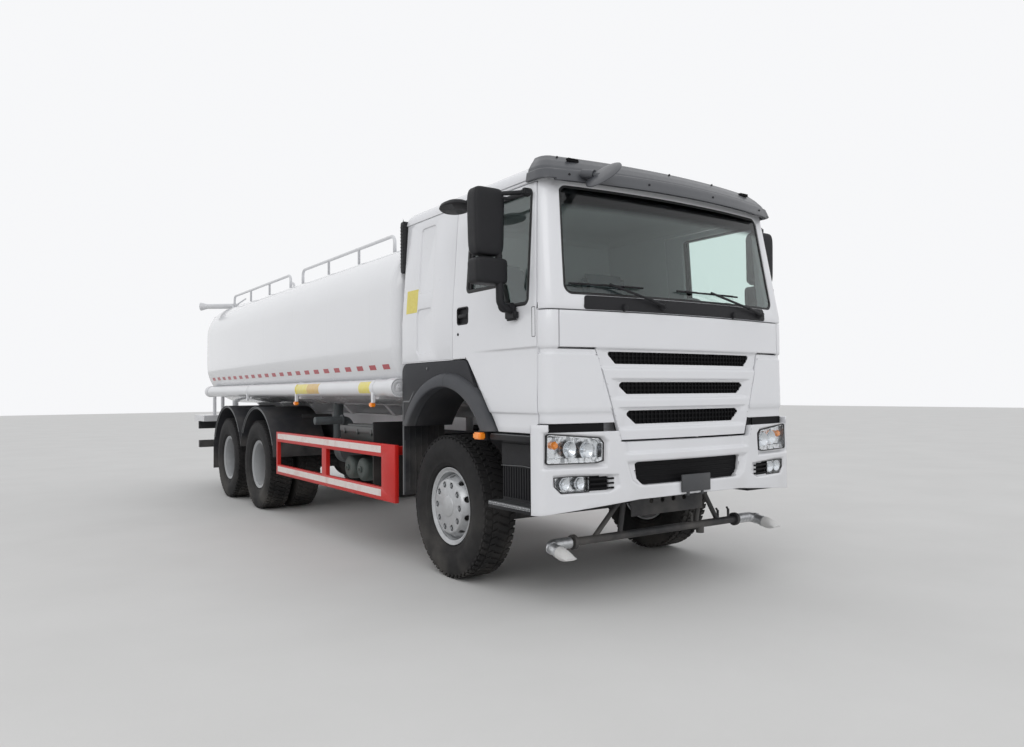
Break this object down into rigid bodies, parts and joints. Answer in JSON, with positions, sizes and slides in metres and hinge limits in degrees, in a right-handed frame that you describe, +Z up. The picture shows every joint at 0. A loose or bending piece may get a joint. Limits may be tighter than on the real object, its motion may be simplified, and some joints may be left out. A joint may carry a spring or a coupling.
{
  "type": "tanker truck",
  "caption": "Forward-control water tanker truck with a long sleeper cab, a rounded white tank, side hose tubes, red side guards, a front spray bar and a rear water cannon.",
  "frame": {"origin": "on the ground in the middle of the overall width and length", "axes": "+X to the truck's left, +Y to its rear, +Z up"},
  "size_m": [2.996, 9.5863, 3.0018],
  "materials": {
    "cab_paint": "gloss cool white",
    "tank_paint": "gloss white",
    "chassis_paint": "semi-gloss dark grey",
    "spring_steel": "dull dark steel",
    "rim_paint": "satin silver",
    "rear_rim_paint": "satin dark silver",
    "tyre": "matte black",
    "glass": "clear greenish",
    "black_plastic": "grained black",
    "visor_plastic": "smoky charcoal",
    "lamp_glass": "clear lens",
    "interior": "grey trim",
    "seat_cloth": "dark grey cloth",
    "guard_red": "gloss red",
    "store_grey": "satin grey",
    "bright_metal": "brushed",
    "pump_iron": "painted cast iron"
  },
  "bodies": {
    "truck": {"chassis_frame": "chassis_paint", "engine_block": "pump_iron", "front_axle": "chassis_paint", "leaf_springs": "spring_steel", "rear_axles": "chassis_paint", "cab_body": "cab_paint", "cab_roof": "cab_paint", "windscreen": "glass", "corner_panels": "cab_paint", "cowl_panel": "black_plastic", "bumper": "cab_paint", "bumper_inserts": "black_plastic", "front_lamps": "lamp_glass", "roof_visor": "visor_plastic", "front_mudguards": "black_plastic", "cab_steps": "black_plastic", "dashboard": "interior", "seats_and_bunk": "seat_cloth", "air_intake": "black_plastic", "tank": "tank_paint", "tank_bearers": "tank_paint", "handrails": "tank_paint", "hose_tubes": "tank_paint", "side_guards": "guard_red", "fuel_tank": "bright_metal", "battery_and_air_tanks": "store_grey", "water_pump": "pump_iron", "rear_mudguards": "black_plastic", "rear_platform": "tank_paint", "underrun_and_tail_lamps": "chassis_paint", "front_spray_bar": "bright_metal"},
    "knuckle_left": {"knuckle_left": "spring_steel"},
    "knuckle_right": {"knuckle_right": "spring_steel"},
    "tie_rod": {"tie_rod": "spring_steel"},
    "wheel_front_left": {"tyre_front_left": "tyre", "rim_front_left": "rim_paint"},
    "wheel_front_right": {"tyre_front_right": "tyre", "rim_front_right": "rim_paint"},
    "door_left": {"door_left": "cab_paint", "door_glass_left": "glass", "mirrors_left": "black_plastic"},
    "door_right": {"door_right": "cab_paint", "door_glass_right": "glass", "mirrors_right": "black_plastic"},
    "front_flap": {"front_flap": "cab_paint", "grille_insert": "black_plastic"},
    "manhole_lid": {"manhole_lid": "tank_paint"},
    "cannon_swivel": {"cannon_swivel": "tank_paint"},
    "cannon_barrel": {"cannon_barrel": "tank_paint"},
    "wheels_rear1_left": {"tyres_rear1_left": "tyre", "rims_rear1_left": "rear_rim_paint"},
    "wheels_rear2_left": {"tyres_rear2_left": "tyre", "rims_rear2_left": "rear_rim_paint"},
    "wheels_rear1_right": {"tyres_rear1_right": "tyre", "rims_rear1_right": "rear_rim_paint"},
    "wheels_rear2_right": {"tyres_rear2_right": "tyre", "rims_rear2_right": "rear_rim_paint"}
  },
  "joints": [
    {"name": "steer_left", "type": "hinge", "parent": "truck", "child": "knuckle_left", "pos_m": [0.872, -3.217, 0.543], "axis": [0, 0, 1], "range_deg": [-35, 35]},
    {"name": "steer_right", "type": "hinge", "parent": "truck", "child": "knuckle_right", "pos_m": [-0.872, -3.217, 0.543], "axis": [0, 0, 1], "range_deg": [-35, 35]},
    {"name": "tie_rod_pivot", "type": "hinge", "parent": "knuckle_left", "child": "tie_rod", "pos_m": [0.872, -3.067, 0.3975], "axis": [0, 0, 1], "range_deg": [-35, 35]},
    {"name": "spin_front_left", "type": "hinge", "parent": "knuckle_left", "child": "wheel_front_left", "pos_m": [1.011, -3.217, 0.543], "axis": [1, 0, 0], "continuous": true},
    {"name": "spin_front_right", "type": "hinge", "parent": "knuckle_right", "child": "wheel_front_right", "pos_m": [-1.011, -3.217, 0.543], "axis": [1, 0, 0], "continuous": true},
    {"name": "spin_rear1_left", "type": "hinge", "parent": "truck", "child": "wheels_rear1_left", "pos_m": [0.915, 1.383, 0.543], "axis": [1, 0, 0], "continuous": true},
    {"name": "spin_rear1_right", "type": "hinge", "parent": "truck", "child": "wheels_rear1_right", "pos_m": [-0.915, 1.383, 0.543], "axis": [1, 0, 0], "continuous": true},
    {"name": "spin_rear2_left", "type": "hinge", "parent": "truck", "child": "wheels_rear2_left", "pos_m": [0.915, 2.733, 0.543], "axis": [1, 0, 0], "continuous": true},
    {"name": "spin_rear2_right", "type": "hinge", "parent": "truck", "child": "wheels_rear2_right", "pos_m": [-0.915, 2.733, 0.543], "axis": [1, 0, 0], "continuous": true},
    {"name": "open_door_right", "type": "hinge", "parent": "truck", "child": "door_right", "pos_m": [-1.172, -4.423, 1.9], "axis": [0, 0, 1], "range_deg": [0, 75]},
    {"name": "open_door_left", "type": "hinge", "parent": "truck", "child": "door_left", "pos_m": [1.172, -4.423, 1.9], "axis": [0, 0, -1], "range_deg": [0, 75]},
    {"name": "lift_front_flap", "type": "hinge", "parent": "truck", "child": "front_flap", "pos_m": [0, -4.622, 1.932], "axis": [-1, 0, 0], "range_deg": [0, 85]},
    {"name": "lift_manhole_lid", "type": "hinge", "parent": "truck", "child": "manhole_lid", "pos_m": [0, 0.823, 2.8613], "axis": [1, 0, 0], "range_deg": [0, 100]},
    {"name": "turn_cannon", "type": "hinge", "parent": "truck", "child": "cannon_swivel", "pos_m": [-0.69, 4.343, 2.7], "axis": [0, 0, 1], "range_deg": [-150, 45]},
    {"name": "tilt_cannon", "type": "hinge", "parent": "cannon_swivel", "child": "cannon_barrel", "pos_m": [-0.69, 4.343, 2.815], "axis": [0.6, 0.8, 0], "range_deg": [-5, 60]}
  ],
  "couplings": [
    {"joint": "steer_right", "follows": "steer_left", "ratio": 1},
    {"joint": "tie_rod_pivot", "follows": "steer_left", "ratio": -1}
  ]
}
